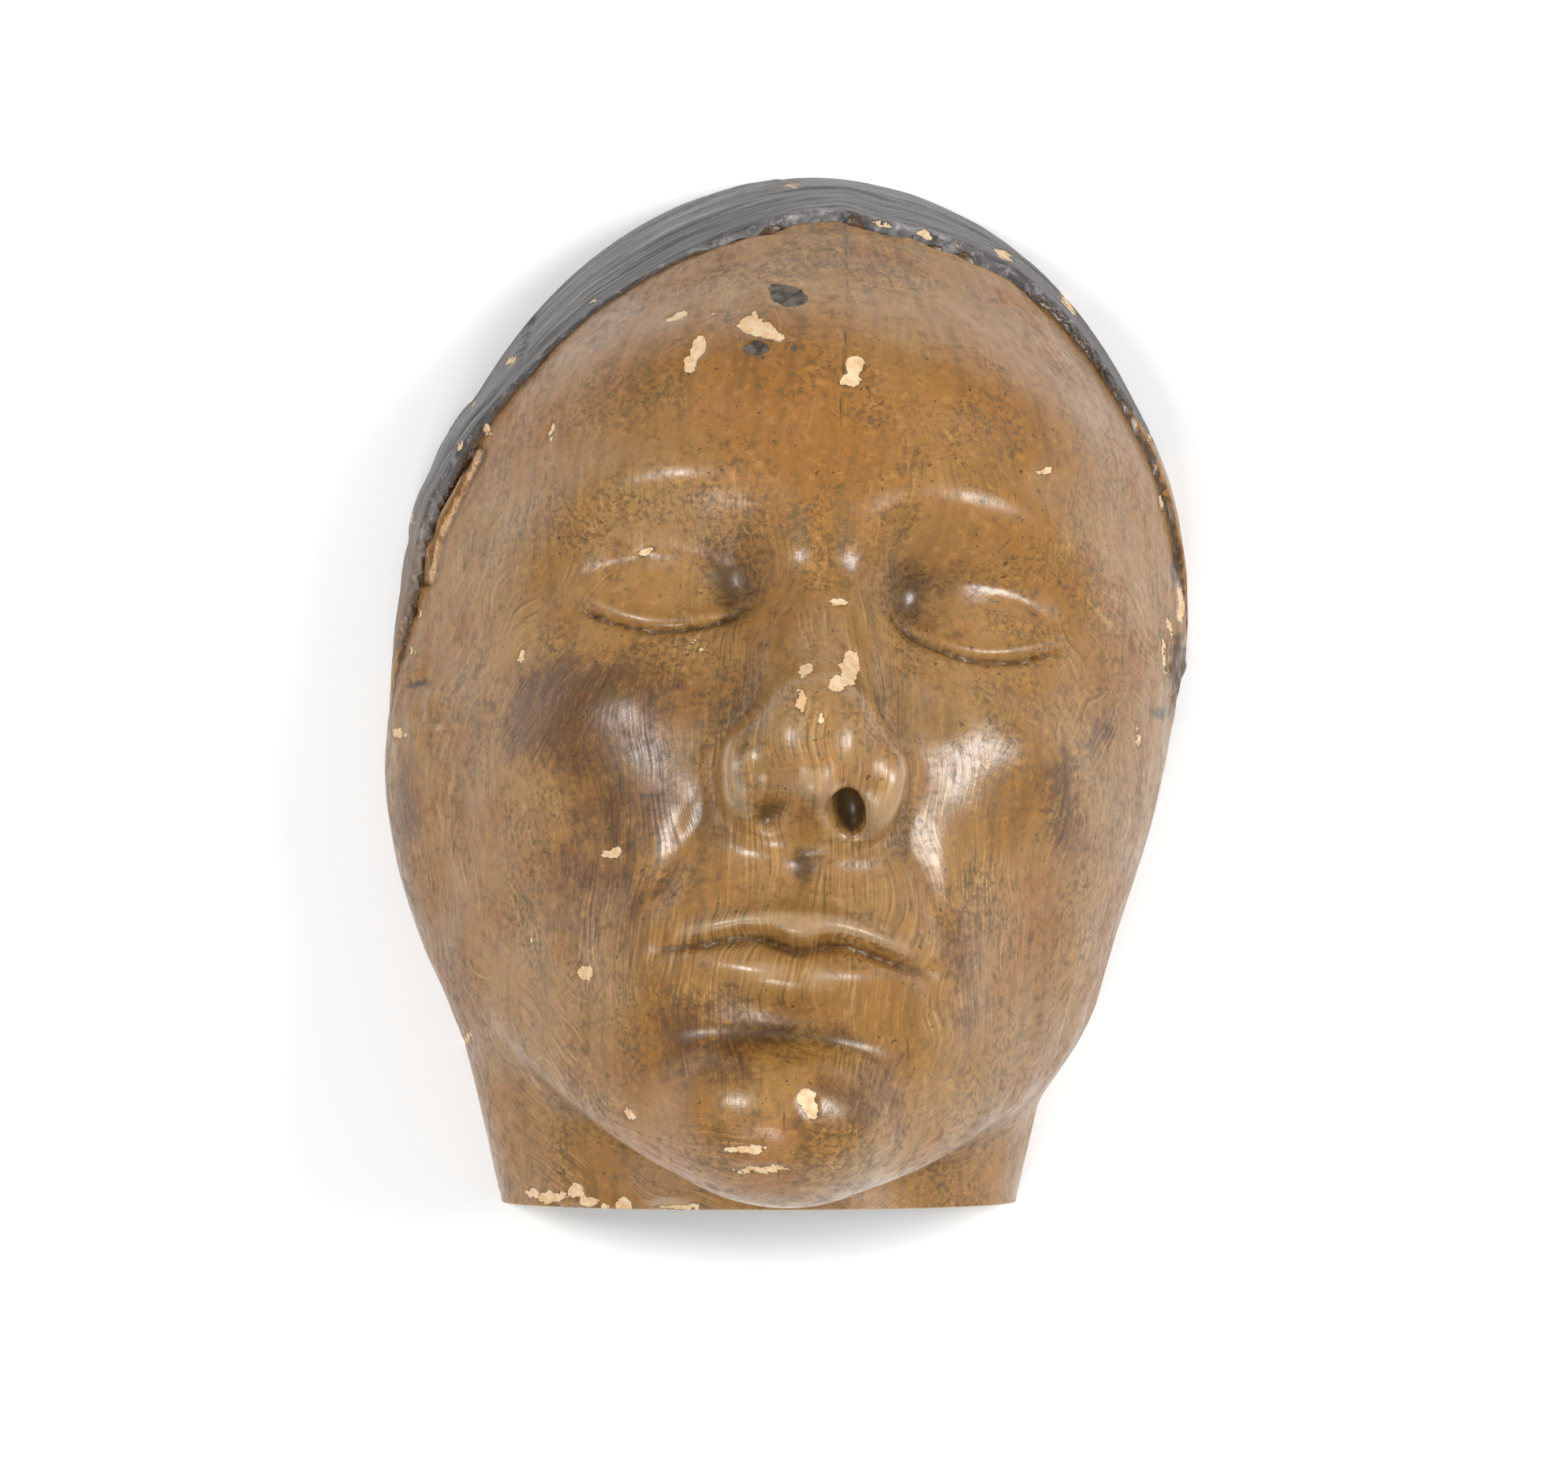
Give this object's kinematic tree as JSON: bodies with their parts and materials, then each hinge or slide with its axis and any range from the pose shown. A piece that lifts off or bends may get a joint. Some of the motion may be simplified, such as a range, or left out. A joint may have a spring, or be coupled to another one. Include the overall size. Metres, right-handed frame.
{
  "type": "plaster life mask",
  "caption": "Hollow painted plaster life mask with closed eyes, a close cap and a short cut neck, lying face up on its flat back rim.",
  "frame": {"origin": "middle of the mask's length and width, in the plane of the flat back rim", "axes": "+X to the viewer's right, +Y along the mask from the neck to the crown, +Z out of the face"},
  "size_m": [0.1696, 0.2162, 0.12],
  "materials": {
    "painted_plaster": "ochre oil paint under an uneven semi-gloss varnish, with a dark grey cap and cream chips"
  },
  "bodies": {
    "root": {"plaster_mask": "painted_plaster"}
  },
  "joints": []
}
